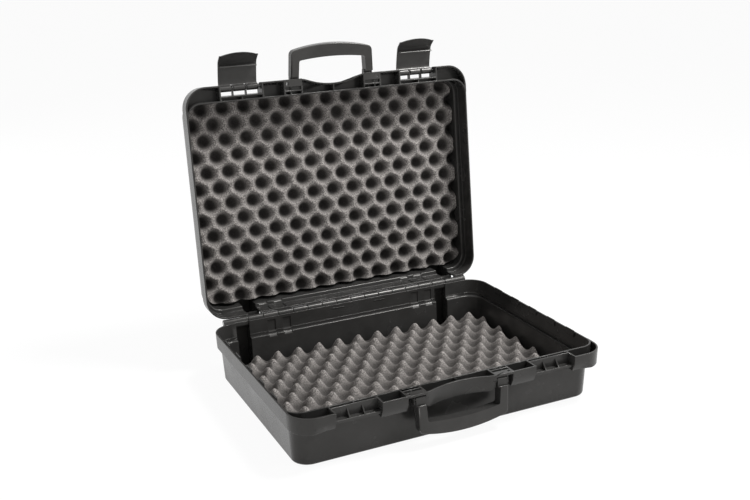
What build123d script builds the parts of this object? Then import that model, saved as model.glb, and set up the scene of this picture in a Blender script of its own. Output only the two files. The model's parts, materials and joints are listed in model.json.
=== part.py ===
from build123d import *
import os
from math import asin, atan2, ceil, cos, hypot, radians, sin, sqrt, tan

# Carrying case with a hinged lid, two draw latches, two folding handles and convoluted foam.
# X runs to the right, Y to the hinge side, Z up. The origin is the centre of the base's bottom face.
# It stands as photographed: lid open, latches thrown up, lid handle up and base handle hanging.
# Lengths are in millimetres and angles in degrees.

# Case
case_width = 440.0
case_depth = 330.0
base_height = 72.5
lid_height = 58.0
wall = 2.4
floor_thickness = 2.6
parting_gap = 0.2
floor_edge_radius = 4.0

# Skirt round the rim of each half, and the body wall below it
skirt_drop = 21.8
skirt_draft = 0.8
slope_drop = 7.4
body_step = 6.5
body_draft_angle = 3.2
front_draft_angle = 1.0
skirt_front_radius = 30.0
skirt_rear_radius = 30.0
body_front_radius = 22.0
bead_depth = 20.4
bead_width = 1.6
ledge_depth = 24.4

# Front shelf of each half, with pockets that open at the rim
shelf_depth = 21.0
panel_crease_drop = 10.3
panel_bevel = 5.2
bevel_fade_inset = 42.0
bevel_end_inset = 16.0
pocket_depth = 17.0
rib_thickness = 1.5
second_wall_setback = 15.3
second_wall_thickness = 2.0
narrow_pocket_depth = 12.0
fascia_dip = 9.7
fascia_slope = 3.0
fascia_corner_cut = 5.0
fascia_corner_run = 6.5
fascia_bend_place = 0.66
fascia_bend_dip = 0.47
fascia_end_slope = 0.08

# Latches
latch_inset = 81.4
latch_width = 56.0
latch_side_gap = 1.8
latch_pin_setback = 5.6
latch_pin_rise = 13.0
latch_pin_radius = 1.5
knuckle_radius = 4.5
latch_thickness = 2.2
latch_face_offset = 6.4
latch_bulge = 0.5
latch_band_length = 6.0
latch_reach = 52.0
latch_end_sagitta = 4.7
latch_shoulder = 2.5
latch_bend_start = 33.0
latch_bend_radius = 12.0
latch_tab_angle = 36.0
hook_thickness = 2.0
hook_overlap = 3.0
hook_side_margin = 2.0
hook_chamfer = 0.9
knuckle_slot_width = 3.2
knuckle_slot_offset = 9.7
latch_slot_length = 4.3
latch_web_thickness = 1.6
latch_web_margin = 2.1
latch_open_angle = 75.0

# Catch ledge of the base, which the latches hook under
catch_top_drop = 13.9
catch_thickness = 2.8
catch_setback = 5.5
catch_lip = 1.0
catch_lip_thickness = 1.4
catch_gusset_drop = 3.0
catch_rib_offset = 9.8

# Handles
handle_arm_centre = 57.6
handle_arm_width = 13.2
handle_thickness = 13.0
handle_tenon_thickness = 7.0
handle_tenon_length = 7.6
handle_reach = 51.4
handle_corner_reach = 43.0
handle_inner_reach = 33.0
handle_inner_corner = 29.5
handle_corner_radius = 8.0
handle_inner_radius = 3.0
handle_edge_radius = 1.6
handle_grip_offset = 1.2
handle_taper = 1.6
handle_pin_setback = 3.5
handle_pin_drop = 8.0
handle_pin_radius = 2.0
handle_side_gap = 0.6
base_handle_swing = 86.0
lid_handle_swing = -8.0
handle_outer_gap = 9.6
boss_plate_thickness = 3.0
boss_plate_depth = 10.6
boss_web_thickness = 2.2
boss_web_drop = 14.0
boss_web_setback = 0.4
boss_step_drop = 3.0
boss_slot_width = 3.0
boss_slot_length = 3.6
boss_slot_setback = 4.0
boss_peg_radius = 1.2
boss_peg_setback = 13.0
boss_peg_rise = 2.4

# Hinge
hinge_offset = 5.1
barrel_radius = 4.9
strap_margin = 0.8
hinge_rod_radius = 2.0
knuckle_pitch = 23.25
knuckle_gap = 0.7
barrel_inset = 21.0
lid_open_angle = 95.8

# Hollow rear feet and the core slots beside them
left_foot_inset = 47.2
right_foot_inset = 69.0
foot_width = 24.4
foot_reach = 11.8
base_foot_top_drop = 5.2
lid_foot_top_drop = 15.0
foot_corner_radius = 2.5
core_slot_insets = (114.4, 91.0)
core_slot_width = 11.6
core_slot_top = 4.5
core_slot_relief = 1.1
core_slot_lead = 1.6
core_slot_foot = 0.6

# Short ribs inside the rear walls, just below the rim
rear_rib_offsets = (-23.0, 45.5)
rear_rib_length = 19.5
rear_rib_drop = 4.9
rear_rib_height = 1.0
rear_rib_width = 0.8

# Locating tabs on the side rims of the base
tab_count = 5
tab_pitch = 45.5
tab_length = 18.5
tab_height = 2.4
tab_thickness = 1.5
tab_root = 7.0
tab_clearance = 0.35
tab_seat_drop = 0.4
tab_shift = -7.1

# Convoluted foam
foam_thickness = 25.0
foam_peak_height = 13.0
foam_pitch = 32.0
foam_row_pitch = 23.0
foam_root_radius = 13.6
foam_cap_radius = 6.2
foam_root_depth = 2.0
foam_clearance = 0.6
foam_seat_gap = 0.2
base_foam_rear_gap = 9.0
lid_foam_rear_gap = 4.0
foam_last_row = 25.4
base_foam_shift = 1.8
lid_foam_shift = 17.8

# Running clearances
pin_clearance = 0.05
catch_clearance = 0.5

body_depth = skirt_drop + slope_drop


def side_inset(depth):
    """How far the side and rear walls stand in from the rim's outer edge, below the rim by depth."""
    if depth <= skirt_drop:
        return skirt_draft * depth / skirt_drop
    if depth <= body_depth:
        return skirt_draft + (body_step - skirt_draft) * (depth - skirt_drop) / slope_drop
    return body_step + (depth - body_depth) * tan(radians(body_draft_angle))


def front_inset(depth):
    return depth * tan(radians(front_draft_angle))


# Places that follow from the driving dimensions. The front and rear edges of the bottom face
# lie equally far from Y = 0.
half_width = case_width / 2
latch_centre = half_width - latch_inset
bevel_fade_start = half_width - bevel_fade_inset
bevel_fade_end = half_width - bevel_end_inset
barrel_half_length = half_width - barrel_inset
knuckle_count = 2 * int(barrel_half_length / knuckle_pitch)
foot_offsets = (left_foot_inset - half_width, half_width - right_foot_inset)
core_slot_offsets = [half_width - inset for inset in core_slot_insets]
mid_y = (side_inset(base_height) - shelf_depth - front_inset(base_height)) / 2
front_y = mid_y - case_depth / 2
rear_y = mid_y + case_depth / 2
wall_y = front_y + shelf_depth
second_wall_y = front_y + second_wall_setback
hinge_y = rear_y + hinge_offset
hinge_z = base_height + parting_gap / 2
recess_half = latch_width / 2 + latch_side_gap
arm_inner = handle_arm_centre - handle_arm_width / 2
arm_outer = handle_arm_centre + handle_arm_width / 2
fascia_half = arm_inner - handle_side_gap
block_inner = arm_outer + handle_outer_gap
recess_inner = latch_centre - recess_half
recess_outer = latch_centre + recess_half


def block(x0, x1, y0, y1, z0, z1):
    """Box between two opposite corners."""
    size = Box(abs(x1 - x0), abs(y1 - y0), abs(z1 - z0))
    return Pos((x0 + x1) / 2, (y0 + y1) / 2, (z0 + z1) / 2) * size


def both_sides(shape):
    return shape + mirror(shape, about=Plane.YZ)


def rod(x0, x1, y, z, radius):
    return Pos((x0 + x1) / 2, y, z) * Cylinder(radius, abs(x1 - x0), rotation=(0, 90, 0))


def side_prism(points, x0, x1):
    """Extrude a closed outline of (Y, Z) points along X."""
    face = make_face(Polyline(*points, close=True))
    return Pos(x0, 0, 0) * extrude(Plane.YZ * face, x1 - x0)


def plan(inset, y0, y1, front_radius, rear_radius):
    """Rounded outline of a half, seen from above."""
    sketch = Pos(0, (y0 + y1) / 2) * Rectangle(2 * (half_width - inset), y1 - y0)
    sketch = fillet(sketch.vertices().group_by(Axis.Y)[0], front_radius)
    return fillet(sketch.vertices().group_by(Axis.Y)[-1], rear_radius)


def level(depth, inset, offset):
    """Outline of the body at a depth below the rim, drawn in by inset and by a wall's offset."""
    outline = plan(inset + offset, wall_y + front_inset(depth) + offset, rear_y - inset - offset,
                   body_front_radius - offset, skirt_rear_radius - inset - offset)
    return Pos(0, 0, -depth) * outline


def between(depth0, inset0, depth1, inset1, offset):
    return loft([level(depth0, inset0, offset), level(depth1, inset1, offset)], ruled=True)


def tray_outside(height):
    tray = between(0, 0, skirt_drop, skirt_draft, 0)
    tray += between(skirt_drop, skirt_draft, body_depth, body_step, 0)
    tray += between(body_depth, body_step, height, side_inset(height), 0)
    return fillet(tray.faces().sort_by(Axis.Z)[0].edges(), floor_edge_radius)


def tray_inside(height):
    """The space inside a half: two steps round the rim, then the body down to the floor."""
    deep = height - floor_thickness
    space = between(0, 0, bead_depth, side_inset(bead_depth), wall)
    space += between(bead_depth, bead_width, ledge_depth, bead_width, wall)
    space += between(ledge_depth, body_step, body_depth, body_step, wall)
    space += between(body_depth, body_step, deep, side_inset(deep), wall)
    return space


def shelf_outline(inset):
    return plan(inset, front_y + inset, rear_y, skirt_front_radius - inset, skirt_rear_radius)


def bevel_section(x, shift, depth):
    """Triangle in front of the bevelled lower half of a panel, at X = x."""
    y0, z0 = front_y + shift, -panel_crease_drop + shift
    slope = depth / (skirt_drop - panel_crease_drop)
    z1 = -skirt_drop - 1
    points = [(y0 - 2, z0 + 2 * slope), (y0, z0), (y0 + slope * (z0 - z1), z1), (y0 - 2, z1)]
    return Pos(x, 0, 0) * (Plane.YZ * make_face(Polyline(*points, close=True)))


def bevel_cutter(shift):
    """Bevel of the blocks and panels, moved back by shift. It fades out round the corners."""
    even = bevel_section(block_inner - 4, shift, panel_bevel)
    even = extrude(even, bevel_fade_start - block_inner + 4)
    fade = [bevel_section(bevel_fade_start, shift, panel_bevel), bevel_section(bevel_fade_end, shift, 0.02)]
    return even + loft(fade, ruled=True)


def wave(z, setback):
    """Curved front edge of the middle fascia, dipping back at the centre."""
    y0 = front_y + setback
    bend_x = fascia_bend_place * fascia_half
    bend_y = y0 + fascia_bend_dip * fascia_dip
    points = [(-fascia_half, y0), (-bend_x, bend_y), (0, y0 + fascia_dip), (bend_x, bend_y),
              (fascia_half, y0)]
    edge = Spline(*points, tangents=[(1, fascia_end_slope), (1, -fascia_end_slope)])
    back = Polyline((fascia_half, y0), (fascia_half, wall_y + wall), (-fascia_half, wall_y + wall),
                    (-fascia_half, y0))
    return Pos(0, 0, z) * make_face(edge + back)


def fascia_body(setback, drop):
    slope = fascia_slope * drop / skirt_drop
    return loft([wave(0, setback), wave(-drop, setback + slope)], ruled=True)


def fascia_corner():
    """Wedge that tapers a lower corner of the fascia."""
    edge = fascia_half + 0.5
    points = [(edge, -skirt_drop + fascia_corner_cut), (edge, -skirt_drop - 1),
              (edge - fascia_corner_run, -skirt_drop - 1)]
    wedge = extrude(Plane.XZ * make_face(Polyline(*points, close=True)), -second_wall_setback)
    return Pos(0, front_y - 0.5, 0) * wedge


def shelf():
    """Front shelf of a half, with its panels, blocks, fascia, handle bosses and pockets."""
    front = block(-half_width - 1, half_width + 1, front_y - 1, wall_y + body_front_radius - 1,
                  -skirt_drop, 0)
    slab = loft([shelf_outline(0), Pos(0, 0, -skirt_drop) * shelf_outline(skirt_draft)], ruled=True)
    slab &= front
    slab -= both_sides(bevel_cutter(0))
    slab -= block(-block_inner, block_inner, front_y - 1, second_wall_y, -skirt_drop - 1, 1)
    slab -= both_sides(block(recess_inner, recess_outer, front_y - 1, second_wall_y, -skirt_drop - 1, 1))
    slab += fascia_body(0, skirt_drop) - both_sides(fascia_corner())
    slab += both_sides(handle_boss())
    return slab - shelf_pockets() - both_sides(handle_pin_bore())


def handle_boss():
    """Plate over a handle arm at the rim, with the web that holds the outer end of its pin."""
    z_plate = -boss_plate_thickness
    plate = block(fascia_half - wall, block_inner + wall, front_y, front_y + boss_plate_depth, z_plate, 0)
    step = block(fascia_half - wall, block_inner + wall, front_y + boss_plate_depth - 1, second_wall_y + 1,
                 z_plate - boss_step_drop, -boss_step_drop)
    web_x = arm_outer + handle_side_gap
    web = block(web_x, web_x + boss_web_thickness, front_y + boss_web_setback, second_wall_y + 1,
                -boss_web_drop, z_plate / 2)
    slot_x = (web_x + boss_web_thickness + block_inner) / 2
    slot_y = front_y + boss_slot_setback
    slot = block(slot_x - boss_slot_width / 2, slot_x + boss_slot_width / 2, slot_y,
                 slot_y + boss_slot_length, z_plate - 1, 1)
    peg = Cylinder(boss_peg_radius, 2 * boss_peg_rise)
    peg = Pos(web_x, front_y + boss_peg_setback, -boss_step_drop) * peg
    return plate + step + web + peg - slot


def handle_pin_bore():
    x1 = arm_outer + handle_side_gap + boss_web_thickness + 1
    return rod(fascia_half - wall - 1, x1, front_y + handle_pin_setback, -handle_pin_drop,
               handle_pin_radius + pin_clearance / 2)


def pocket(x0, x1, y0, y1, depth):
    return block(x0, x1, y0, y1, -depth, 1)


def shelf_pockets():
    """Spaces of the shelf that open at the rim, between the panels and the body's front wall."""
    narrow_y = second_wall_y + second_wall_thickness
    corner = extrude(Pos(0, 0, -pocket_depth) * shelf_outline(wall), pocket_depth + 1)
    corner &= block(recess_outer + wall, half_width, front_y, wall_y + body_front_radius, -pocket_depth, 1)
    corner -= extrude(Pos(0, 0, -pocket_depth - 1) * level(0, 0, 0), pocket_depth + 3)
    blocks = pocket(block_inner + wall, recess_inner - wall, front_y + wall, wall_y, pocket_depth)
    panels = corner + blocks - bevel_cutter(wall)
    half_rib = rib_thickness / 2
    boss_rib = arm_outer + handle_side_gap + boss_web_thickness / 2
    narrow = pocket(fascia_half, boss_rib - half_rib, narrow_y, wall_y, narrow_pocket_depth)
    narrow += pocket(boss_rib + half_rib, block_inner, narrow_y, wall_y, narrow_pocket_depth)
    narrow += pocket(recess_inner, latch_centre - half_rib, narrow_y, wall_y, narrow_pocket_depth)
    narrow += pocket(latch_centre + half_rib, recess_outer, narrow_y, wall_y, narrow_pocket_depth)
    middle = fascia_body(wall, pocket_depth)
    middle &= block(half_rib, fascia_half - wall, front_y, wall_y, -pocket_depth, 0)
    middle += pocket(half_rib, fascia_half - wall, front_y + wall + fascia_dip, wall_y, pocket_depth)
    return both_sides(panels + narrow + middle)


def catch_ledge(centre):
    """Ledge across a latch recess of the base, with its lip and two gussets."""
    x0, x1 = centre - recess_half - 0.5, centre + recess_half + 0.5
    y0 = front_y + catch_setback
    z0 = -catch_top_drop
    ledge = block(x0, x1, y0, wall_y + 1, z0 - catch_thickness, z0)
    ledge += block(x0, x1, y0, y0 + catch_lip_thickness, z0 - 0.5, z0 + catch_lip)
    gusset = side_prism([(second_wall_y + 0.5, -catch_gusset_drop), (second_wall_y + 0.5, z0 - 0.5),
                         (y0 + catch_lip_thickness / 2, z0 - 0.5)], -rib_thickness / 2, rib_thickness / 2)
    for side in (-1, 1):
        ledge += Pos(centre + side * catch_rib_offset, 0, 0) * gusset
    under = block(x0 + 0.5, x1 - 0.5, second_wall_y - 1, wall_y, -skirt_drop - 1, z0 - catch_thickness)
    return ledge, under


def latch_seat(centre):
    """Webs that carry a latch's pin in a recess of the lid, and the bore through them."""
    pin_y = front_y + latch_pin_setback
    pin_z = -latch_pin_rise
    web_radius = latch_pin_radius + latch_web_margin
    web = rod(0, latch_web_thickness, pin_y, pin_z, web_radius)
    web += block(0, latch_web_thickness, pin_y, second_wall_y + 0.5, pin_z - web_radius, pin_z + web_radius)
    webs = Pos(centre - knuckle_slot_offset - latch_web_thickness / 2, 0, 0) * web
    webs += Pos(centre + knuckle_slot_offset - latch_web_thickness / 2, 0, 0) * web
    length = recess_half + wall
    bore = rod(centre - length, centre + length, pin_y, pin_z, latch_pin_radius + pin_clearance / 2)
    return webs, bore


def knuckle_spans(for_lid):
    """X spans of a half's knuckles, which alternate with those of the other half."""
    spans = []
    first = -knuckle_count / 2 * knuckle_pitch
    for i in range(knuckle_count):
        if (i % 2 == 1) != for_lid:
            continue
        x0 = first + i * knuckle_pitch + knuckle_gap / 2
        x1 = first + (i + 1) * knuckle_pitch - knuckle_gap / 2
        x0 = -barrel_half_length if i == 0 else x0
        x1 = barrel_half_length if i == knuckle_count - 1 else x1
        spans.append((x0, x1))
    return spans


def hinge_knuckles(for_lid):
    knuckles = []
    drop = parting_gap / 2
    for x0, x1 in knuckle_spans(for_lid):
        barrel = rod(x0, x1, hinge_y, drop, barrel_radius)
        strap = block(x0, x1, rear_y - wall / 2, hinge_y, drop - barrel_radius - strap_margin, 0)
        knuckles.append(barrel + strap)
    return knuckles


def rear_feet(height, for_lid):
    """Hollow columns that stand out behind the hinge, as solids and as the recesses in them.

    The recesses are open to the rim."""
    feet, hollows = [], []
    top_drop = lid_foot_top_drop if for_lid else base_foot_top_drop
    wall_foot_y = rear_y - side_inset(height)
    for offset in foot_offsets:
        x = -offset if for_lid else offset
        x0, x1 = x - foot_width / 2, x + foot_width / 2
        y1 = rear_y + foot_reach
        outer = block(x0, x1, wall_foot_y - wall / 2, y1, -height, -top_drop)
        outer = fillet(outer.edges().filter_by(Axis.Z).group_by(Axis.Y)[-1], foot_corner_radius)
        inner = block(x0 + wall, x1 - wall, wall_foot_y - 2 * wall, y1 - wall, -height + floor_thickness,
                      -top_drop - wall)
        inner += block(x0 + wall, x1 - wall, wall_foot_y - 2 * wall, rear_y, -top_drop - wall - 1, 1)
        feet.append(outer)
        hollows.append(inner)
    return feet, hollows


def strap_windows():
    """Gaps between the lid's hinge barrel and its wall, at the recesses of the rear feet."""
    windows = []
    for offset in foot_offsets:
        x0, x1 = -offset - foot_width / 2 + wall, -offset + foot_width / 2 - wall
        window = block(x0, x1, rear_y - wall, hinge_y, -barrel_radius - strap_margin - 1, 1)
        windows.append(window - rod(x0, x1, hinge_y, parting_gap / 2, barrel_radius))
    return windows


def core_slots():
    """Grooves in the rear wall and gaps in the ledge, left by the cores of the hinge."""
    upper_y = rear_y - wall + core_slot_relief
    lower_y = rear_y - body_step - wall
    lower_z = -body_depth + core_slot_foot
    outline = [(upper_y, -core_slot_top), (upper_y - skirt_draft, -skirt_drop + core_slot_lead),
               (lower_y, lower_z), (lower_y - wall, lower_z), (lower_y - wall, -core_slot_top)]
    slot = side_prism(outline, -core_slot_width / 2, core_slot_width / 2)
    return [Pos(side * x, 0, 0) * slot for x in core_slot_offsets for side in (-1, 1)]


def rear_ribs(for_lid):
    """Short ribs along the inside of a half's rear wall."""
    ribs = []
    y1 = rear_y - wall / 2
    y0 = rear_y - wall - rear_rib_width
    for offset in rear_rib_offsets:
        x = -offset if for_lid else offset
        ribs.append(block(x - rear_rib_length / 2, x + rear_rib_length / 2, y0, y1,
                          -rear_rib_drop - rear_rib_height, -rear_rib_drop))
    return ribs


def rim_tabs():
    """Locating tabs that stand up inside the side rims."""
    tabs = []
    tab_mid_y = (wall_y + rear_y) / 2 + tab_shift
    for i in range(tab_count):
        y = tab_mid_y + (i - (tab_count - 1) / 2) * tab_pitch
        x1 = half_width - wall - tab_clearance
        x0 = x1 - tab_thickness
        tab = block(x0, x1, y - tab_length / 2, y + tab_length / 2, -tab_root, tab_height)
        tab += block(x0, half_width - wall / 2, y - tab_length / 2, y + tab_length / 2, -tab_root,
                     -tab_seat_drop)
        tabs.append(tab)
    return both_sides(Part() + tabs)


def half_shell(height, for_lid):
    """One moulded half, with its rim at Z = 0 and its body below."""
    feet, hollows = rear_feet(height, for_lid)
    shell = tray_outside(height) + shelf()
    shell += feet
    shell -= tray_inside(height)
    shell -= hollows
    shell -= core_slots()
    shell += rear_ribs(for_lid)
    for side in (-1, 1):
        centre = side * latch_centre
        if for_lid:
            webs, bore = latch_seat(centre)
            shell = shell + webs - bore
        else:
            ledge, under = catch_ledge(centre)
            shell = shell - under + ledge
    shell += hinge_knuckles(for_lid)
    if for_lid:
        shell -= strap_windows()
    return shell - rod(-half_width, half_width, hinge_y, parting_gap / 2, hinge_rod_radius + pin_clearance)


def lid_pose(shape):
    """Turn a shape drawn rim down at Z = 0 over into the lid's place, open."""
    closed = Pos(0, 0, base_height + parting_gap) * mirror(shape, about=Plane.XY)
    axis = Pos(0, hinge_y, hinge_z)
    return axis * Rot(X=-lid_open_angle) * axis.inverse() * closed


def latch():
    """Hooked latch plate in its closed position, with its pin along X through the origin.

    It reaches towards +Z, and -Y is its outside."""
    face = -latch_face_offset
    back = face + latch_thickness
    turn = radians(latch_tab_angle)
    middle = (latch_band_length + latch_bend_start) / 2

    def bend(radius, angle):
        return face + latch_bend_radius - radius * cos(angle), latch_bend_start + radius * sin(angle)

    def tab_end(start):
        return start[0] + (latch_reach - start[1]) * tan(turn), latch_reach

    inner_radius = latch_bend_radius - latch_thickness
    outer = Polyline((-knuckle_radius, 0), (face, latch_band_length))
    outer += ThreePointArc((face, latch_band_length), (face - latch_bulge, middle),
                           bend(latch_bend_radius, 0))
    outer += ThreePointArc(bend(latch_bend_radius, 0), bend(latch_bend_radius, turn / 2),
                           bend(latch_bend_radius, turn))
    tip = Polyline(bend(latch_bend_radius, turn), tab_end(bend(latch_bend_radius, turn)),
                   tab_end(bend(inner_radius, turn)), bend(inner_radius, turn))
    inner = ThreePointArc(bend(inner_radius, turn), bend(inner_radius, turn / 2), bend(inner_radius, 0))
    inner += ThreePointArc(bend(inner_radius, 0), (back - latch_bulge, middle), (back, latch_band_length))
    inner += Polyline((back, latch_band_length), (0, latch_thickness), (0, -latch_thickness),
                      (-knuckle_radius, 0))
    plate = extrude(Plane.YZ * make_face(outer + tip + inner), latch_width / 2, both=True)
    plate += rod(-latch_width / 2, latch_width / 2, 0, 0, knuckle_radius)

    hook_half = latch_width / 2 - hook_side_margin
    hook_tip = catch_setback - latch_pin_setback + hook_overlap
    hook_z = latch_pin_rise + parting_gap + catch_top_drop + catch_thickness + catch_clearance
    hook = block(-hook_half, hook_half, back - latch_bulge - latch_thickness / 2, hook_tip, hook_z,
                 hook_z + hook_thickness)
    hook = chamfer(hook.edges().filter_by(Axis.X).group_by(Axis.Y)[-1].sort_by(Axis.Z)[-1], hook_chamfer)

    half = latch_width / 2
    shoulder = latch_reach - latch_end_sagitta
    outline = Polyline((-half + latch_shoulder, shoulder), (-half, shoulder), (-half, -knuckle_radius - 1),
                       (half, -knuckle_radius - 1), (half, shoulder), (half - latch_shoulder, shoulder))
    outline += ThreePointArc((half - latch_shoulder, shoulder), (0, latch_reach + 0.1),
                             (-half + latch_shoulder, shoulder))
    plate &= extrude(Plane.XZ * make_face(outline), 2 * latch_reach, both=True)

    slot = block(-knuckle_slot_width / 2, knuckle_slot_width / 2, face - 2, knuckle_radius + 1,
                 -knuckle_radius - 1, latch_slot_length)
    for x in (-knuckle_slot_offset, knuckle_slot_offset):
        plate -= Pos(x, 0, 0) * slot
    return plate + hook - rod(-half - 1, half + 1, 0, 0, latch_pin_radius + pin_clearance)


def latch_pose(shape, centre):
    """Place a latch or its pin, drawn about the pin's axis, on the open lid."""
    pin = Pos(centre, front_y + latch_pin_setback, -latch_pin_rise)
    return lid_pose(pin * Rot(X=latch_open_angle) * shape)


def latch_pin():
    reach = recess_half + wall
    return rod(-reach, reach, 0, 0, latch_pin_radius)


def arched(start_half, half, side, middle, start, radius):
    """Outline with tapered sides, an arched end towards -Y and rounded corners."""
    arch = ThreePointArc((-half, -side), (0, -middle), (half, -side))
    rest = Polyline((half, -side), (start_half, -start), (-start_half, -start), (-half, -side))
    face = make_face(arch + rest)
    return fillet([v for v in face.vertices() if v.Y < -start - 1], radius)


def handle():
    """Folding handle with its pins' axis along X through the origin, reaching towards -Y.

    Its outer side faces +Z."""
    low = handle_grip_offset - handle_thickness / 2
    outer = arched(arm_outer, arm_outer - handle_taper, handle_corner_reach, handle_reach,
                   handle_tenon_length, handle_corner_radius)
    grip = Pos(0, 0, low) * extrude(outer, handle_thickness)
    rims = grip.faces().filter_by(Axis.Z).edges()
    grip = fillet([e for e in rims if e.center().Y < -handle_tenon_length - 0.1], handle_edge_radius)
    inner = arched(arm_inner + handle_taper, arm_inner, handle_inner_corner, handle_inner_reach,
                   handle_tenon_length - 1, handle_inner_radius)
    grip -= Pos(0, 0, low) * extrude(inner, handle_thickness)
    tenon_half = handle_tenon_thickness / 2
    tenon = block(arm_inner, arm_outer, -handle_tenon_length - 1, 0, -tenon_half, tenon_half)
    tenon += rod(arm_inner, arm_outer, 0, 0, tenon_half)
    grip += both_sides(tenon)
    return grip - rod(-arm_outer - 1, arm_outer + 1, 0, 0, handle_pin_radius + pin_clearance)


def handle_pin(side):
    x0 = fascia_half - wall
    x1 = arm_outer + handle_side_gap + boss_web_thickness
    return rod(side * x0, side * x1, 0, 0, handle_pin_radius)


def handle_pose(shape, swing):
    """Place a handle or its pin in a half, turned down from its raised position by swing."""
    return Pos(0, front_y + handle_pin_setback, -handle_pin_drop) * Rot(X=swing) * shape


def foam_peak():
    """Rounded cone of the foam, on a root sunk below Z = 0."""
    rise = foam_peak_height - foam_cap_radius
    reach = hypot(foam_root_radius, rise)
    flank = sqrt(reach**2 - foam_cap_radius**2)
    slope = atan2(rise, -foam_root_radius) - asin(foam_cap_radius / reach)
    tangent = (foam_root_radius + flank * cos(slope), flank * sin(slope))
    middle = (foam_cap_radius * sin(asin(tangent[0] / foam_cap_radius) / 2),
              rise + foam_cap_radius * cos(asin(tangent[0] / foam_cap_radius) / 2))
    side = Polyline((0, foam_peak_height), (0, -foam_root_depth), (foam_root_radius, -foam_root_depth),
                    (foam_root_radius, 0), tangent)
    cap = ThreePointArc(tangent, middle, (0, foam_peak_height))
    return revolve(Plane.XZ * make_face(side + cap), Axis.Z)


def foam_block(height, rear_gap):
    """Outline of a half's foam, which follows the draft of the walls."""
    bottom = height - floor_thickness - foam_seat_gap
    top = bottom - foam_thickness
    outline = between(top, side_inset(max(top, body_depth)), bottom, side_inset(bottom),
                      wall + foam_clearance)
    rear = rear_y - side_inset(bottom) - wall - rear_gap
    return outline & block(-half_width, half_width, front_y, rear, -bottom - 1, -top + 1)


def foam(height, shift, rear_gap):
    """Convoluted foam of a half: a slab with rows of rounded peaks, every other row shifted."""
    outline = foam_block(height, rear_gap)
    box = outline.bounding_box()
    valley = box.max.Z - foam_peak_height
    peak = foam_peak()
    pieces = []
    last_y = rear_y - foam_last_row
    rows = ceil((last_y - box.min.Y) / foam_row_pitch) + 1
    for row in range(-1, rows):
        first = shift + row % 2 * foam_pitch / 2
        start = round((box.min.X - first) / foam_pitch)
        stop = round((box.max.X - first) / foam_pitch)
        for column in range(start, stop + 1):
            place = Pos(first + column * foam_pitch, last_y - row * foam_row_pitch, valley)
            pieces.append(place * peak)
    slab = block(box.min.X - foam_pitch, box.max.X + foam_pitch, box.min.Y - foam_pitch,
                 box.max.Y + foam_pitch, box.min.Z - 1, valley)
    return (slab + pieces) & outline


def nodes():
    shapes = {}
    shapes["base_shell"] = half_shell(base_height, False) + rim_tabs()
    shapes["base_foam"] = foam(base_height, base_foam_shift, base_foam_rear_gap)
    shapes["base_handle"] = handle_pose(handle(), base_handle_swing)
    shapes["hinge_rod"] = rod(-barrel_half_length, barrel_half_length, hinge_y, parting_gap / 2,
                              hinge_rod_radius)
    for side, name in ((-1, "left"), (1, "right")):
        shapes[f"base_handle_pin_{name}"] = handle_pose(handle_pin(side), 0)
    shapes = {name: Pos(0, 0, base_height) * shape for name, shape in shapes.items()}
    shapes["lid_shell"] = lid_pose(half_shell(lid_height, True))
    shapes["lid_foam"] = lid_pose(foam(lid_height, lid_foam_shift, lid_foam_rear_gap))
    shapes["lid_handle"] = lid_pose(handle_pose(handle(), lid_handle_swing))
    for side, name in ((-1, "left"), (1, "right")):
        shapes[f"lid_handle_pin_{name}"] = lid_pose(handle_pose(handle_pin(side), 0))
        shapes[f"latch_{name}"] = latch_pose(latch(), side * latch_centre)
        shapes[f"latch_pin_{name}"] = latch_pose(latch_pin(), side * latch_centre)
    return shapes


os.makedirs("parts", exist_ok=True)
for name, shape in nodes().items():
    print(name, "solids", len(shape.solids()), "volume cm3", round(shape.volume / 1000, 1))
    export_step(shape, f"parts/{name}.step")
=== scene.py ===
import json
import math

import bmesh
import bpy
from bpy.props import FloatProperty, FloatVectorProperty, PointerProperty
from mathutils import Matrix, Vector
from mathutils.bvhtree import BVHTree

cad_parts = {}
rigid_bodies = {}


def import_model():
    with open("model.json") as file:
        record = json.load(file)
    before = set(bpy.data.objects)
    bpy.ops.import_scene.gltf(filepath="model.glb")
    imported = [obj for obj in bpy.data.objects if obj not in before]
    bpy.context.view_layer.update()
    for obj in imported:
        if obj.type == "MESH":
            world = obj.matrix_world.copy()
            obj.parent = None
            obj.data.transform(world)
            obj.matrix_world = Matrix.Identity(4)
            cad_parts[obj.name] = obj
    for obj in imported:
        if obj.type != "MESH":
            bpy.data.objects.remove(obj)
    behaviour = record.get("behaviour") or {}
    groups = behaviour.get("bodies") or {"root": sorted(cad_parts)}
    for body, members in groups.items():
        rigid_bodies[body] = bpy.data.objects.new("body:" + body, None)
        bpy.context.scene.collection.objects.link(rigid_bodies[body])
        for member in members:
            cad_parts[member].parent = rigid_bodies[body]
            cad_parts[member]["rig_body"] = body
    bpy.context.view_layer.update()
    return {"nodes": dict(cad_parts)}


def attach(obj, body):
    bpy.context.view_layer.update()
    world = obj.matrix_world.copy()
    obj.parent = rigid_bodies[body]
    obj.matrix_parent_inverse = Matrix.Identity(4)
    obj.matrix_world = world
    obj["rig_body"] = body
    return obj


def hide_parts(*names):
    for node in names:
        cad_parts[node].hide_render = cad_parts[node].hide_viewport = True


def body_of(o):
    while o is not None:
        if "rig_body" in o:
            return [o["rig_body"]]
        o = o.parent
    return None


bl_info = {
    "name": "Foam-lined carrying case",
    "version": (1, 0, 0),
    "blender": (4, 5, 0),
    "location": "View3D > Sidebar > Case",
    "description": "Finishes and soft lining of a moulded carrying case, built round its solids",
    "category": "Object",
}

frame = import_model()

MM = 0.001
NEAR = 0.1 * MM
WHITE = (1, 1, 1, 1)

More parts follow.
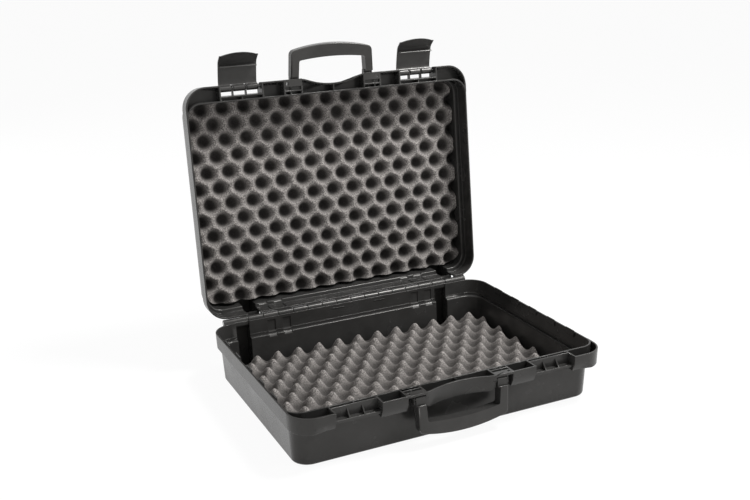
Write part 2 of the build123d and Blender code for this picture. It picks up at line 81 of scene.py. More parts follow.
# Places on the case, as its solids are built
RIM_HEIGHT = 72.5 * MM
PARTING_GAP = 0.2 * MM
REAR_Y = 158.33 * MM
HINGE_OFFSET = 5.1 * MM
HINGE = Vector((0, REAR_Y + HINGE_OFFSET, RIM_HEIGHT + PARTING_GAP / 2))
LID_OPEN = math.radians(95.8)
LEDGE_DEPTH = 24.4 * MM

# The solids' meshes: points this close are one, and faces that turn less than this are one face
SAME_POINT = 0.002 * MM
SAME_FACE = math.radians(0.3)

# Softened edges: the least turn that counts as an edge, and the share of a face that a rounding may take
EDGE_TURN = math.radians(35)
FACE_SHARE = 0.4

# Turns sharper than these show as creases
PLASTIC_CREASE = math.radians(40)
FOAM_CREASE = math.radians(60)

# The plastics: each one's colour, roughness and strength of grain, and the shine that they share
PLASTICS = {
    "shell_plastic": ("shell", 0.24, 0.3),
    "handle_plastic": ("handle", 0.22, 0.25),
    "latch_plastic": ("latch", 0.22, 0.2),
}
PLASTIC_SHINE = 0.29
PLASTIC_TINT = (1.0, 0.975, 0.94, 1)

# The foams' waves: one of them across from the middle, and the last row forward from the rear wall
BASE_FIRST_WAVE = -1.2 * MM
LID_FIRST_WAVE = 17.8 * MM
BASE_LAST_ROW = 25.4 * MM
LID_LAST_ROW = 21.7 * MM

# The foams' skin: how pointed the peaks are, and how strongly painted shade darkens the hollows
PEAK_POWER = 1.5
BASE_SHADE = 0.56
LID_SHADE = 1.0

# The foams' uneven places: their sizes, how far the noise is spread, and its level where nothing sinks
DRIFT_SPAN = 26 * MM
SWELL_SPAN = 17 * MM
DIMPLE_SPAN = 4 * MM
DRIFT_GAIN = 4.0
SWELL_GAIN = 3.0
UNSUNK = 0.3

# Each lamp's place, aim and width
TOP_LAMP = (0.75, -0.35, 1.65), (0, 0.05, 0.15), 0.5
KEY_LAMP = (1.45, -1.25, 1.35), (0, 0.05, 0.2), 0.6
SIDE_LAMP = (-1.45, 1.8, 0.6), (-0.2, 0, 0.1), 1.0

# The camera, solved from the photograph's straight edges
CAMERA_PLACE = (-0.5715, -1.1426, 0.6057)
CAMERA_YAW = math.radians(25.232)
CAMERA_PITCH = math.radians(17.716)
CAMERA_ROLL = math.radians(1.451)
SENSOR_WIDTH = 36

FLOOR_RADIUS = 25
FLOOR_COLOUR = (0.9, 0.9, 0.9, 1)
FLOOR_GLOW = 0.93


class CaseSizes(bpy.types.PropertyGroup):
    """Sizes of the details that are worked into the case's solids."""

    edge_softness: FloatProperty(
        name="Edge softness", description="Width of the softening on the moulded edges of the shells",
        default=0.6 * MM, min=0, unit="LENGTH", subtype="DISTANCE")
    ledge_softness: FloatProperty(
        name="Ledge softness",
        description="Width of the rounding on the ledge round the inside of the shells",
        default=2.6 * MM, min=0, unit="LENGTH", subtype="DISTANCE")
    fitting_softness: FloatProperty(
        name="Fitting softness", description="Width of the softening on the latches' edges",
        default=0.4 * MM, min=0, unit="LENGTH", subtype="DISTANCE")
    foam_pitch: FloatProperty(
        name="Foam pitch", description="Distance between two waves in one row of the foam",
        default=32 * MM, min=5 * MM, unit="LENGTH", subtype="DISTANCE")
    foam_row_pitch: FloatProperty(
        name="Foam row pitch", description="Distance between two rows of waves",
        default=23 * MM, min=5 * MM, unit="LENGTH", subtype="DISTANCE")
    foam_peak_height: FloatProperty(
        name="Foam peak height", description="Height of the base foam's peaks above its valleys",
        default=15.5 * MM, min=0, unit="LENGTH", subtype="DISTANCE")
    foam_pit_depth: FloatProperty(
        name="Foam pit depth", description="Depth of the pits in the lid's foam",
        default=19 * MM, min=0, unit="LENGTH", subtype="DISTANCE")
    foam_pit_width: FloatProperty(
        name="Foam pit width", description="Spread of each pit of the lid's foam about its middle",
        default=6.6 * MM, min=1 * MM, unit="LENGTH", subtype="DISTANCE")
    foam_corner: FloatProperty(
        name="Foam corner radius", description="Radius of the foam's corners, seen from above",
        default=19 * MM, min=1 * MM, unit="LENGTH", subtype="DISTANCE")
    foam_rear_corner: FloatProperty(
        name="Base foam rear corner radius", description="Radius of the base foam's corners at the hinge",
        default=28 * MM, min=1 * MM, unit="LENGTH", subtype="DISTANCE")
    base_foam_inset: FloatProperty(
        name="Base foam inset", description="How far the base's foam is pressed in at its sides",
        default=6 * MM, min=0, unit="LENGTH", subtype="DISTANCE")
    foam_cell: FloatProperty(
        name="Foam grid", description="Size of the squares that the foam's skin is made of",
        default=1.6 * MM, min=0.5 * MM, unit="LENGTH", subtype="DISTANCE")
    foam_roughness: FloatProperty(
        name="Foam unevenness", description="How far the foam's skin strays from its even waves",
        default=0.8 * MM, min=0, unit="LENGTH", subtype="DISTANCE")
    foam_drift: FloatProperty(
        name="Foam drift", description="How far a wave of the foam lies from its even place",
        default=0.5 * MM, min=0, unit="LENGTH", subtype="DISTANCE")
    grain_size: FloatProperty(
        name="Grain size", description="Size of the grain in the moulded plastic",
        default=0.7 * MM, min=0.1 * MM, unit="LENGTH", subtype="DISTANCE")
    pore_size: FloatProperty(
        name="Pore size", description="Size of the foam's open cells",
        default=1.3 * MM, min=0.2 * MM, unit="LENGTH", subtype="DISTANCE")


class CaseColours(bpy.types.PropertyGroup):
    """Colours of the case's finishes."""

    shell: FloatVectorProperty(
        name="Shell plastic", description="Colour of the two moulded halves",
        default=(0.0235, 0.023, 0.0222), min=0, max=1, subtype="COLOR")
    handle: FloatVectorProperty(
        name="Handle plastic", description="Colour of the two handles",
        default=(0.0235, 0.023, 0.0222), min=0, max=1, subtype="COLOR")
    latch: FloatVectorProperty(
        name="Latch plastic", description="Colour of the two latches",
        default=(0.026, 0.0255, 0.0247), min=0, max=1, subtype="COLOR")
    foam: FloatVectorProperty(
        name="Foam", description="Colour of the foam's lit cell walls",
        default=(0.325, 0.303, 0.287), min=0, max=1, subtype="COLOR")
    # Painted shade: the colour that the foam is mixed towards down in its hollows
    foam_hollow_shade: FloatVectorProperty(
        name="Foam hollow shade", description="Colour of the painted shade in the foam's hollows",
        default=(0.034, 0.0315, 0.03), min=0, max=1, subtype="COLOR")
    steel: FloatVectorProperty(
        name="Pin steel", description="Colour of the hinge rod and the pins",
        default=(0.55, 0.55, 0.54), min=0, max=1, subtype="COLOR")


class StudioSettings(bpy.types.PropertyGroup):
    """Camera and light of the studio."""

    lens: FloatProperty(
        name="Lens", description="Focal length of the camera in millimetres", default=48.22, min=10)
    top_power: FloatProperty(
        name="Top light", description="Power of the lamp above the case", default=42, min=0, unit="POWER")
    key_power: FloatProperty(
        name="Key light", description="Power of the lamp in front of the case, to its right", default=12,
        min=0, unit="POWER")
    side_power: FloatProperty(
        name="Side light", description="Power of the lamp behind the case's left side", default=30, min=0,
        unit="POWER")
    sky_level: FloatProperty(
        name="Sky level", description="Light that the surroundings shed on the case", default=0.5, min=0)


# Materials

def new_material(name):
    """An empty node material, with its Principled shader and Object coordinates."""
    material = bpy.data.materials.new(name)
    material.use_nodes = True
    nodes = material.node_tree.nodes
    nodes.clear()
    output = nodes.new("ShaderNodeOutputMaterial")
    shader = nodes.new("ShaderNodeBsdfPrincipled")
    material.node_tree.links.new(shader.outputs["BSDF"], output.inputs["Surface"])
    place = nodes.new("ShaderNodeTexCoord")
    return material, shader, place.outputs["Object"]


def maths(tree, operation, first, second=None):
    """One step of arithmetic in a node tree, on numbers or on sockets."""
    node = tree.nodes.new("ShaderNodeMath")
    node.operation = operation
    for index, value in enumerate((first, second)):
        if value is None:
            continue
        if isinstance(value, bpy.types.NodeSocket):
            tree.links.new(value, node.inputs[index])
        else:
            node.inputs[index].default_value = value
    return node.outputs[0]


def add_noise(material, coordinates, size, detail, roughness=0.5):
    """Noise whose waves are about the given size."""
    node = material.node_tree.nodes.new("ShaderNodeTexNoise")
    node.inputs["Scale"].default_value = 1 / size
    node.inputs["Detail"].default_value = detail
    node.inputs["Roughness"].default_value = roughness
    material.node_tree.links.new(coordinates, node.inputs["Vector"])
    return node.outputs["Fac"]


def add_range(material, value, low, high, to_low, to_high):
    """A value spread from one range over another, and held at its ends."""
    node = material.node_tree.nodes.new("ShaderNodeMapRange")
    node.inputs["From Min"].default_value = low
    node.inputs["From Max"].default_value = high
    node.inputs["To Min"].default_value = to_low
    node.inputs["To Max"].default_value = to_high
    material.node_tree.links.new(value, node.inputs["Value"])
    return node.outputs["Result"]


def add_mix(material, factor, first, second):
    """A colour between two others, each given as a colour or as a socket."""
    node = material.node_tree.nodes.new("ShaderNodeMix")
    node.data_type = "RGBA"
    for socket, value in ((node.inputs[6], first), (node.inputs[7], second)):
        if isinstance(value, bpy.types.NodeSocket):
            material.node_tree.links.new(value, socket)
        else:
            socket.default_value = (*value, 1)
    material.node_tree.links.new(factor, node.inputs[0])
    return node.outputs[2]


def add_bump(material, height, distance, strength, normal=None):
    """Relief on top of another normal, where one is given."""
    node = material.node_tree.nodes.new("ShaderNodeBump")
    node.inputs["Strength"].default_value = strength
    node.inputs["Distance"].default_value = distance
    material.node_tree.links.new(height, node.inputs["Height"])
    if normal is not None:
        material.node_tree.links.new(normal, node.inputs["Normal"])
    return node.outputs["Normal"]


def shade_of(colour, share):
    """A colour with its light taken at a share."""
    return tuple(part * share for part in colour)


def moulded_plastic(name, colour, grain, roughness, relief):
    """Black moulded plastic with a fine satin grain and faint flow marks."""
    flow_size, flow_light, grain_depth = 45 * MM, 1.35, grain * 0.12
    smoothest, roughest = roughness - 0.04, roughness + 0.05
    material, shader, place = new_material(name)
    links = material.node_tree.links
    fine = add_noise(material, place, grain, detail=3)
    flow = add_noise(material, place, flow_size, detail=3, roughness=0.6)
    tone = add_range(material, flow, 0.35, 0.65, 0.0, 1.0)
    links.new(add_mix(material, tone, colour, shade_of(colour, flow_light)), shader.inputs["Base Color"])
    links.new(add_range(material, flow, 0.3, 0.7, smoothest, roughest), shader.inputs["Roughness"])
    links.new(add_bump(material, fine, grain_depth, relief), shader.inputs["Normal"])
    shader.inputs["Specular IOR Level"].default_value = PLASTIC_SHINE
    shader.inputs["Specular Tint"].default_value = PLASTIC_TINT
    return material


def open_cell_foam(name, colour, hollow_shade_colour, pore):
    """Open-cell foam: a speckle of pale cell walls, with painted shade inside its cells and painted shade
    down in its hollows.
    """
    fleck_size, fleck_light, pore_light = pore * 1.5, 0.36, 0.45
    fray, fleck_depth, pore_depth = 0.9, pore * 0.9, pore * 0.35
    material, shader, place = new_material(name)
    tree = material.node_tree
    links = tree.links
    cells = tree.nodes.new("ShaderNodeTexVoronoi")
    cells.inputs["Scale"].default_value = 1 / pore
    links.new(place, cells.inputs["Vector"])
    speckle = add_noise(material, place, fleck_size, detail=3, roughness=0.6)
    # Painted shade inside each cell: the walls' colour darkens towards the cell's middle, where the shade
    # of its hole falls
    pores = add_range(material, cells.outputs["Distance"], 0.1, 0.55, 1.0, 0.0)
    walls = add_mix(material, pores, colour, shade_of(colour, pore_light))
    flecks = add_range(material, speckle, 0.44, 0.56, 0.0, 1.0)
    skin = add_mix(material, flecks, shade_of(colour, fleck_light), walls)
    # Painted shade: the hollow attribute, frayed by the speckle, mixes the skin towards the painted shade
    # colour in the foam's pits and valleys
    depth = tree.nodes.new("ShaderNodeAttribute")
    depth.attribute_name = "hollow"
    frayed = maths(tree, "MULTIPLY", maths(tree, "SUBTRACT", speckle, 0.5), fray)
    frayed = maths(tree, "ADD", depth.outputs["Fac"], frayed)
    shade = add_range(material, frayed, 0.16, 0.56, 0.0, 0.94)
    links.new(add_mix(material, shade, skin, hollow_shade_colour), shader.inputs["Base Color"])
    shader.inputs["Roughness"].default_value = 1.0
    shader.inputs["Specular IOR Level"].default_value = 0.1
    normal = add_bump(material, speckle, fleck_depth, 0.9)
    normal = add_bump(material, cells.outputs["Distance"], pore_depth, 0.6, normal)
    links.new(normal, shader.inputs["Normal"])
    return material


def drawn_steel(name, colour):
    """Bright steel wire with fine marks along its length, which lies along X."""
    mark_width, mark_depth, mark_stretch = 0.2 * MM, 0.02 * MM, 50
    smoothest, roughest = 0.28, 0.42
    material, shader, place = new_material(name)
    links = material.node_tree.links
    mapping = material.node_tree.nodes.new("ShaderNodeMapping")
    mapping.inputs["Scale"].default_value = (1 / mark_stretch, 1, 1)
    links.new(place, mapping.inputs["Vector"])
    marks = add_noise(material, mapping.outputs["Vector"], mark_width, detail=2)
    links.new(add_range(material, marks, 0.3, 0.7, smoothest, roughest), shader.inputs["Roughness"])
    links.new(add_bump(material, marks, mark_depth, 0.3), shader.inputs["Normal"])
    shader.inputs["Base Color"].default_value = (*colour, 1)
    shader.inputs["Metallic"].default_value = 1.0
    return material


def finish_of(kind):
    """The material of a kind of piece, made when it is first asked for."""
    name = f"{kind}_finish"
    found = bpy.data.materials.get(name)
    if found is not None:
        return found
    sizes = bpy.context.scene.case_sizes
    colours = bpy.context.scene.case_colours
    if kind in PLASTICS:
        colour, roughness, relief = PLASTICS[kind]
        return moulded_plastic(name, getattr(colours, colour), sizes.grain_size, roughness, relief)
    if kind == "foam":
        return open_cell_foam(name, colours.foam, colours.foam_hollow_shade, sizes.pore_size)
    if kind == "pin_steel":
        return drawn_steel(name, colours.steel)
    raise ValueError(f"no finish named {kind}")


# Pieces

def base_matrix():
    """From a half drawn rim up at Z = 0 to the base."""
    return Matrix.Translation((0, 0, RIM_HEIGHT))


def lid_matrix():
    """From a half drawn rim up at Z = 0 to the open lid."""
    over = Matrix.Diagonal((1, 1, -1, 1))
    lift = Matrix.Translation((0, 0, RIM_HEIGHT + PARTING_GAP))
    turn = Matrix.Translation(HINGE) @ Matrix.Rotation(-LID_OPEN, 4, "X") @ Matrix.Translation(-HINGE)
    return turn @ lift @ over


def link(piece):
    """Put a new piece in the scene."""
    bpy.context.scene.collection.objects.link(piece)
    return piece


def settle(piece):
    """Apply the live modifiers of a piece, so that its mesh is final."""
    bpy.context.view_layer.update()
    graph = bpy.context.evaluated_depsgraph_get()
    final = bpy.data.meshes.new_from_object(piece.evaluated_get(graph))
    piece.modifiers.clear()
    piece.data = final
    return piece


def merged_copy(node, name):
    """A copy of a solid's mesh with its loose triangles joined and its flat faces whole."""
    mesh = frame["nodes"][node].data.copy()
    mesh.name = name
    work = bmesh.new()
    work.from_mesh(mesh)
    bmesh.ops.remove_doubles(work, verts=work.verts, dist=SAME_POINT)
    bmesh.ops.dissolve_limit(work, angle_limit=SAME_FACE, verts=work.verts, edges=work.edges)
    work.to_mesh(mesh)
    work.free()
    return link(bpy.data.objects.new(name, mesh))


def room_beside(edge):
    """How wide a rounding the faces beside an edge leave room for."""
    turning = 0.4  # a side that leads away by less than this share of its length runs on with the edge
    start, end = (vert.co for vert in edge.verts)
    along = (end - start).normalized()
    room = math.inf
    for loop in edge.link_loops:
        into = loop.face.normal.cross(along)
        room = min(room, max(abs((vert.co - start).dot(into)) for vert in loop.face.verts))
        for near, beside in ((loop.vert, loop.link_loop_prev),
                             (loop.link_loop_next.vert, loop.link_loop_next)):
            side = beside.edge.other_vert(near).co - near.co
            across = abs(side.dot(into))
            if across > turning * side.length:
                room = min(room, across)
    return room


def mark_soft_edges(piece, softness, ledge_softness, to_half):
    """Give each sharp outer edge the share of the widest rounding that it has, and has room for."""
    widest = max(softness, ledge_softness)
    work = bmesh.new()
    work.from_mesh(piece.data)
    weight = work.edges.layers.float.new("bevel_weight_edge")
    for edge in work.edges:
        if len(edge.link_faces) == 2 and edge.calc_face_angle_signed(0) > EDGE_TURN:
            depths = [-(to_half @ vert.co).z for vert in edge.verts]
            on_ledge = max(abs(depth - LEDGE_DEPTH) for depth in depths) < NEAR
            width = ledge_softness if on_ledge else softness
            edge[weight] = min(width, FACE_SHARE * room_beside(edge)) / widest
    work.to_mesh(piece.data)
    work.free()
    return widest


def keep_to_solid(piece, surface, reach):
    """Draw stray points of a rounding back to the solid's surface."""
    for vert in piece.data.vertices:
        near, _, _, distance = surface.find_nearest(vert.co)
        if distance > reach:
            vert.co = near


def dress(node, name, kind, softness, ledge_softness=0.0, to_half=Matrix()):
    """Stand a softened, finished copy of a solid in its place."""
    piece = merged_copy(node, name)
    piece.data.materials.clear()
    piece.data.materials.append(finish_of(kind))
    if softness > 0:
        surface = BVHTree.FromPolygons([vert.co.copy() for vert in piece.data.vertices],
                                       [tuple(face.vertices) for face in piece.data.polygons])
        widest = mark_soft_edges(piece, softness, ledge_softness, to_half)
        bevel = piece.modifiers.new("soft edges", "BEVEL")
        bevel.width = widest
        bevel.segments = 2
        bevel.limit_method = "WEIGHT"
        bevel.use_clamp_overlap = False
        settle(piece)
        keep_to_solid(piece, surface, widest)
    piece.data.shade_smooth()
    piece.data.set_sharp_from_angle(angle=PLASTIC_CREASE)
    even = piece.modifiers.new("even faces", "WEIGHTED_NORMAL")
    even.keep_sharp = True
    settle(piece)
    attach(piece, body_of(frame["nodes"][node])[0])
    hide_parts(node)
    return piece


def paint_node(node, kind):
    """Finish a solid that shows as it is."""
    piece = frame["nodes"][node]
    piece.data.materials.clear()
    piece.data.materials.append(finish_of(kind))


# Foam

def add_input(tree, name, kind):
    """A named input of a node group, given by its identifier."""
    return tree.interface.new_socket(name=name, in_out="INPUT", socket_type=kind).identifier


def wave_tree():
    """Geometry nodes that press a slab's top into staggered rows of rounded peaks or pits."""
    tree = bpy.data.node_groups.new("Foam waves", "GeometryNodeTree")
    tree.interface.new_socket(name="Geometry", in_out="INPUT", socket_type="NodeSocketGeometry")
    tree.interface.new_socket(name="Geometry", in_out="OUTPUT", socket_type="NodeSocketGeometry")
    numbers = ("Pitch", "Row pitch", "Height", "Spread", "Pits", "First wave", "Last row", "Unevenness",
               "Drift", "Shade")
    names = {name: add_input(tree, name, "NodeSocketFloat") for name in numbers}
    names["Material"] = add_input(tree, "Material", "NodeSocketMaterial")
    given = tree.nodes.new("NodeGroupInput").outputs
    end = tree.nodes.new("NodeGroupOutput")
    place = tree.nodes.new("GeometryNodeInputPosition").outputs[0]
    split = tree.nodes.new("ShaderNodeSeparateXYZ")
    tree.links.new(place, split.inputs[0])
    top = tree.nodes.new("GeometryNodeInputNamedAttribute")
    top.data_type = "FLOAT"
    top.inputs["Name"].default_value = "top"

    def add(first, second):
        return maths(tree, "ADD", first, second)

    def less(first, second):
        return maths(tree, "SUBTRACT", first, second)

    def times(first, second):
        return maths(tree, "MULTIPLY", first, second)

    def over(first, second):
        return maths(tree, "DIVIDE", first, second)

    def stray(size, seed):
        """Smooth noise about zero."""
        noise = tree.nodes.new("ShaderNodeTexNoise")
        noise.noise_dimensions = "4D"
        noise.inputs["W"].default_value = seed
        noise.inputs["Scale"].default_value = 1 / size
        noise.inputs["Detail"].default_value = 1.0
        tree.links.new(place, noise.inputs["Vector"])
        return less(noise.outputs["Fac"], 0.5)

    # where each point lies among the waves
    drift = times(given["Drift"], DRIFT_GAIN)
    across = add(less(split.outputs[0], given["First wave"]), times(stray(DRIFT_SPAN, 1.0), drift))
    along = add(less(split.outputs[1], given["Last row"]), times(stray(DRIFT_SPAN, 7.0), drift))
    half = times(given["Pitch"], 0.5)

    # round peaks, as two crossed cosines
    turn = maths(tree, "COSINE", over(times(across, math.pi), half))
    row_turn = maths(tree, "COSINE", over(times(along, math.pi), given["Row pitch"]))
    height = add(times(times(turn, row_turn), 0.5), 0.5)
    valley = less(1.0, maths(tree, "POWER", height, PEAK_POWER))

    # round pits, by the distance to the nearest middle in the staggered rows
    across = maths(tree, "PINGPONG", across, half)
    along = maths(tree, "PINGPONG", along, given["Row pitch"])
    in_row = add(times(across, across), times(along, along))
    across, along = less(half, across), less(given["Row pitch"], along)
    in_next_row = add(times(across, across), times(along, along))
    spread = times(times(given["Spread"], given["Spread"]), -2.0)
    pit = maths(tree, "EXPONENT", over(maths(tree, "MINIMUM", in_row, in_next_row), spread))

    # peaks or pits, with the uneven skin, pressed down where the slab's top is
    mix = tree.nodes.new("ShaderNodeMix")
    tree.links.new(given["Pits"], mix.inputs[0])
    tree.links.new(valley, mix.inputs[2])
    tree.links.new(pit, mix.inputs[3])
    hollow = mix.outputs[0]
    drop = times(hollow, given["Height"])
    swell = times(less(UNSUNK, stray(SWELL_SPAN, 4.0)), times(given["Unevenness"], SWELL_GAIN))
    dimples = times(less(UNSUNK, stray(DIMPLE_SPAN, 2.0)), given["Unevenness"])
    drop = times(add(drop, add(swell, dimples)), top.outputs[0])
    offset = tree.nodes.new("ShaderNodeCombineXYZ")
    tree.links.new(times(drop, -1.0), offset.inputs[2])
    # The hollows' share, times Shade, is kept as the hollow attribute for the foam's painted shade
    mark = tree.nodes.new("GeometryNodeStoreNamedAttribute")
    mark.data_type = "FLOAT"
    mark.inputs["Name"].default_value = "hollow"
    tree.links.new(given["Geometry"], mark.inputs["Geometry"])
    tree.links.new(times(hollow, given["Shade"]), mark.inputs["Value"])
    press = tree.nodes.new("GeometryNodeSetPosition")
    tree.links.new(mark.outputs[0], press.inputs["Geometry"])
    tree.links.new(offset.outputs[0], press.inputs["Offset"])
    real = tree.nodes.new("GeometryNodeRealizeInstances")
    tree.links.new(press.outputs[0], real.inputs[0])
    paint = tree.nodes.new("GeometryNodeSetMaterial")
    tree.links.new(real.outputs[0], paint.inputs["Geometry"])
    tree.links.new(given["Material"], paint.inputs["Material"])
    tree.links.new(paint.outputs[0], end.inputs[0])
    return tree, names


def slab_mesh(name, bottom, top, half_bottom, half_top, front, rear, front_radius, rear_radius, cell):
    """Closed slab with rounded corners whose top is a fine grid.

    The attribute top is 1 there and fades down the sides, which follow the waves less and less.
    """
    side_levels, fade = 4, 1.6
    rows = max(2, round((rear - front) / cell))
    columns = max(2, round(2 * half_top / cell))

    def half_at(y, half):
        """Half the width at a place along the slab, with its corners rounded."""
        for radius, edge in ((front_radius, y - front), (rear_radius, rear - y)):
            if edge < radius:
                half -= radius - math.sqrt(max(0.0, radius**2 - (radius - edge) ** 2))
        return half

    verts, faces, marks = [], [], []
    for row in range(rows + 1):
        y = front + (rear - front) * row / rows
        width = half_at(y, half_top)
        for column in range(columns + 1):
            verts.append((width * (2 * column / columns - 1), y, top))
            marks.append(1.0)
    stride = columns + 1
    for row in range(rows):
        for column in range(columns):
            a = row * stride + column
            faces.append((a, a + 1, a + stride + 1, a + stride))
    rim = list(range(columns))
    rim += [row * stride + columns for row in range(rows)]
    rim += [rows * stride + column for column in range(columns, 0, -1)]
    rim += [row * stride for row in range(rows, 0, -1)]
    ring = rim
    for step in range(1, side_levels + 1):
        share = step / side_levels
        z = top + (bottom - top) * share
        next_ring = []
        for index in rim:
            x, y, _ = verts[index]
            x *= 1 + (half_bottom / half_top - 1) * share
            next_ring.append(len(verts))
            verts.append((x, y, z))
            marks.append(max(0.0, 1 - fade * share))
        for i in range(len(rim)):
            j = (i + 1) % len(rim)
            faces.append((ring[j], ring[i], next_ring[i], next_ring[j]))
        ring = next_ring
    faces.append(tuple(reversed(ring)))
    mesh = bpy.data.meshes.new(name)
    mesh.from_pydata(verts, [], faces)
    attribute = mesh.attributes.new("top", "FLOAT", "POINT")
    attribute.data.foreach_set("value", marks)
    mesh.update()
    return mesh


def foam_room(node, to_place, inset):
    """Bottom, top, half widths there and Y ends of a foam's solid, in its half's own frame."""
    solid = frame["nodes"][node]
    back = to_place.inverted() @ solid.matrix_world
    points = [back @ vert.co for vert in solid.data.vertices]
    bottom, top = min(p.z for p in points), max(p.z for p in points)
    half_bottom = max(p.x for p in points if p.z < bottom + NEAR) - inset
    half_top = max(p.x for p in points) - inset
    return bottom, top, half_bottom, half_top, min(p.y for p in points), max(p.y for p in points)


def make_foam(node, name, body, to_place, sizes, pits, first, last_row, rear_corner, inset):
    """One half's foam, drawn rim up in the half's own frame and then put in its place."""
    mesh = slab_mesh(name, *foam_room(node, to_place, inset), sizes.foam_corner, rear_corner,
                     sizes.foam_cell)
    piece = link(bpy.data.objects.new(name, mesh))
    tree, names = wave_tree()
    waves = piece.modifiers.new("Foam waves", "NODES")
    waves.node_group = tree
    inputs = {
        "Pitch": sizes.foam_pitch,
        "Row pitch": sizes.foam_row_pitch,
        "Height": sizes.foam_pit_depth if pits else sizes.foam_peak_height,
        "Spread": sizes.foam_pit_width,
        "Pits": 1.0 if pits else 0.0,
        "First wave": first,
        "Last row": REAR_Y - last_row,
        "Unevenness": sizes.foam_roughness,
        "Drift": sizes.foam_drift,
        "Shade": LID_SHADE if pits else BASE_SHADE,
        "Material": finish_of("foam"),
    }
    for label, value in inputs.items():
        waves[names[label]] = value
    settle(piece)
    piece.data.transform(to_place)
    if to_place.determinant() < 0:
        piece.data.flip_normals()
    piece.data.shade_smooth()
    piece.data.set_sharp_from_angle(angle=FOAM_CREASE)
    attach(piece, body)
    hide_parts(node)
    return piece


# Studio

def see_white(tree, plain, white):
    """White for rays from the camera, reflections and clear materials, and plain for the rest."""
    rays = tree.nodes.new("ShaderNodeLightPath")
    seen = maths(tree, "MAXIMUM", rays.outputs["Is Camera Ray"], rays.outputs["Is Glossy Ray"])
    seen = maths(tree, "MAXIMUM", seen, rays.outputs["Is Transmission Ray"])
    mix = tree.nodes.new("ShaderNodeMixShader")
    tree.links.new(seen, mix.inputs[0])
    tree.links.new(plain, mix.inputs[1])
    tree.links.new(white, mix.inputs[2])
    return mix.outputs[0]


def make_floor():
    """Pale floor that keeps the case's shadow and meets the white surroundings."""
    bpy.ops.mesh.primitive_circle_add(vertices=96, radius=FLOOR_RADIUS, fill_type="NGON")
    floor = bpy.context.object
    floor.name = "studio_floor"
    material = bpy.data.materials.new("studio_floor")
    material.use_nodes = True
    tree = material.node_tree
    tree.nodes.clear()
    output = tree.nodes.new("ShaderNodeOutputMaterial")
    matt = tree.nodes.new("ShaderNodeBsdfDiffuse")
    matt.inputs["Color"].default_value = FLOOR_COLOUR
    glow = tree.nodes.new("ShaderNodeEmission")
    glow.inputs["Strength"].default_value = 1.0
    soft = tree.nodes.new("ShaderNodeMixShader")
    soft.inputs[0].default_value = FLOOR_GLOW
    tree.links.new(matt.outputs[0], soft.inputs[1])
    tree.links.new(glow.outputs[0], soft.inputs[2])
    tree.links.new(see_white(tree, matt.outputs[0], soft.outputs[0]), output.inputs["Surface"])
    floor.data.materials.append(material)


def make_sky(level):
    """White surroundings that light the case at their own level."""
    world = bpy.data.worlds.new("studio_sky")
    bpy.context.scene.world = world
    world.use_nodes = True
    tree = world.node_tree
    tree.nodes.clear()
    output = tree.nodes.new("ShaderNodeOutputWorld")
    skies = []
    for strength in (level, 1.0):
        sky = tree.nodes.new("ShaderNodeBackground")
        sky.inputs["Color"].default_value = WHITE
        sky.inputs["Strength"].default_value = strength
        skies.append(sky.outputs[0])
    tree.links.new(see_white(tree, *skies), output.inputs["Surface"])


def add_lamp(name, place, target, size, power):
    """A round lamp that faces its target."""
    lamp = bpy.data.lights.new(name, "AREA")
    lamp.shape = "DISK"
    lamp.size = size
    lamp.energy = power
    holder = link(bpy.data.objects.new(name, lamp))
    holder.location = place
    holder.rotation_mode = "QUATERNION"
    holder.rotation_quaternion = (Vector(target) - Vector(place)).to_track_quat("-Z", "Y")
    return holder


def make_camera(lens):
    """Camera at the photograph's viewing angle."""
    level = math.cos(CAMERA_PITCH)
    forward = Vector((math.sin(CAMERA_YAW) * level, math.cos(CAMERA_YAW) * level, -math.sin(CAMERA_PITCH)))
    right = Vector((math.cos(CAMERA_YAW), -math.sin(CAMERA_YAW), 0))
    down = forward.cross(right)
    across = math.cos(CAMERA_ROLL) * right + math.sin(CAMERA_ROLL) * down
    up = math.sin(CAMERA_ROLL) * right - math.cos(CAMERA_ROLL) * down
    turn = Matrix((across, up, -forward)).transposed().to_4x4()
    data = bpy.data.cameras.new("camera")
    data.lens = lens
    data.sensor_width = SENSOR_WIDTH
    data.sensor_fit = "HORIZONTAL"
    camera = link(bpy.data.objects.new("camera", data))
    camera.matrix_world = Matrix.Translation(CAMERA_PLACE) @ turn
    bpy.context.scene.camera = camera


# Operators

class CASE_OT_shells(bpy.types.Operator):
    """Dress the two moulded halves with softened edges and grained plastic"""

    bl_idname = "case.shells"
    bl_label = "Shells"

    def execute(self, context):
        sizes = context.scene.case_sizes
        softness = sizes.edge_softness, sizes.ledge_softness
        dress("base_shell", "base_case_half", "shell_plastic", *softness, base_matrix().inverted())
        dress("lid_shell", "lid_case_half", "shell_plastic", *softness, lid_matrix().inverted())
        return {"FINISHED"}


class CASE_OT_fittings(bpy.types.Operator):
    """Dress the handles and the latches, and finish the hinge rod and the pins"""

    bl_idname = "case.fittings"
    bl_label = "Handles, latches and pins"

    def execute(self, context):
        sizes = context.scene.case_sizes
        dress("base_handle", "base_carry_handle", "handle_plastic", 0)
        dress("lid_handle", "lid_carry_handle", "handle_plastic", 0)
        for side in ("left", "right"):
            dress(f"latch_{side}", f"draw_latch_{side}", "latch_plastic", sizes.fitting_softness)
            paint_node(f"latch_pin_{side}", "pin_steel")
            paint_node(f"base_handle_pin_{side}", "pin_steel")
            paint_node(f"lid_handle_pin_{side}", "pin_steel")
        paint_node("hinge_rod", "pin_steel")
        return {"FINISHED"}


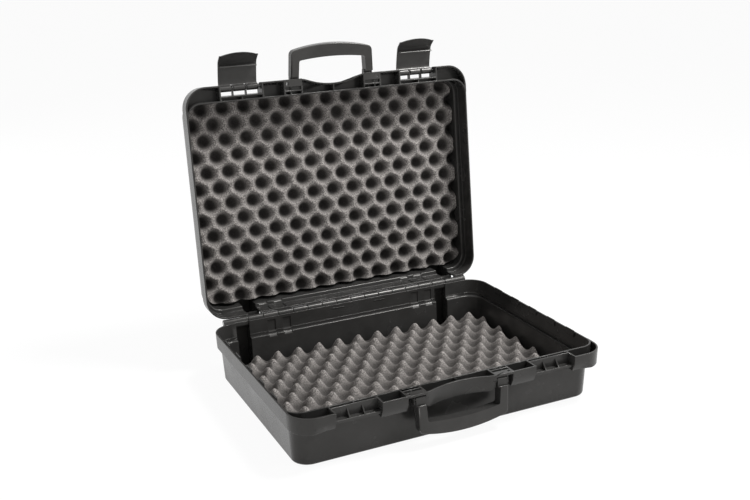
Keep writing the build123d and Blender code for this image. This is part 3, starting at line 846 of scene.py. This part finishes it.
class CASE_OT_foam(bpy.types.Operator):
    """Make the convoluted foam of both halves"""

    bl_idname = "case.foam"
    bl_label = "Foam"

    def execute(self, context):
        sizes = context.scene.case_sizes
        make_foam("base_foam", "base_foam_lining", "base", base_matrix(), sizes, False, BASE_FIRST_WAVE,
                  BASE_LAST_ROW, sizes.foam_rear_corner, sizes.base_foam_inset)
        make_foam("lid_foam", "lid_foam_lining", "lid", lid_matrix(), sizes, True,
                  LID_FIRST_WAVE + sizes.foam_pitch / 2, LID_LAST_ROW, sizes.foam_corner, 0)
        return {"FINISHED"}


class CASE_OT_studio(bpy.types.Operator):
    """Set up the pale floor, the lights and the camera"""

    bl_idname = "case.studio"
    bl_label = "Studio"

    def execute(self, context):
        settings = context.scene.case_studio
        make_floor()
        make_sky(settings.sky_level)
        add_lamp("Top light", *TOP_LAMP, settings.top_power)
        add_lamp("Key light", *KEY_LAMP, settings.key_power)
        side = add_lamp("Side light", *SIDE_LAMP, settings.side_power)
        side.visible_glossy = False  # it stands low, and would glare off the closed lid
        make_camera(settings.lens)
        context.scene.view_settings.view_transform = "Standard"
        return {"FINISHED"}


class CASE_PT_panel(bpy.types.Panel):
    """Sizes, colours and steps of the carrying case"""

    bl_idname = "CASE_PT_panel"
    bl_label = "Carrying case"
    bl_space_type = "VIEW_3D"
    bl_region_type = "UI"
    bl_category = "Case"

    def draw(self, context):
        layout = self.layout
        for group in (context.scene.case_sizes, context.scene.case_colours, context.scene.case_studio):
            box = layout.box()
            for name in group.__annotations__:
                box.prop(group, name)
        for operator in STEPS:
            layout.operator(operator.bl_idname)


STEPS = (CASE_OT_shells, CASE_OT_fittings, CASE_OT_foam, CASE_OT_studio)
GROUPS = (("case_sizes", CaseSizes), ("case_colours", CaseColours), ("case_studio", StudioSettings))


def register():
    for name, group in GROUPS:
        bpy.utils.register_class(group)
        setattr(bpy.types.Scene, name, PointerProperty(type=group))
    for step in STEPS:
        bpy.utils.register_class(step)
    bpy.utils.register_class(CASE_PT_panel)


def unregister():
    bpy.utils.unregister_class(CASE_PT_panel)
    for step in reversed(STEPS):
        bpy.utils.unregister_class(step)
    for name, group in reversed(GROUPS):
        delattr(bpy.types.Scene, name)
        bpy.utils.unregister_class(group)


def main():
    register()
    bpy.ops.case.shells()
    bpy.ops.case.fittings()
    bpy.ops.case.foam()
    bpy.ops.case.studio()


if __name__ == "__main__":
    main()
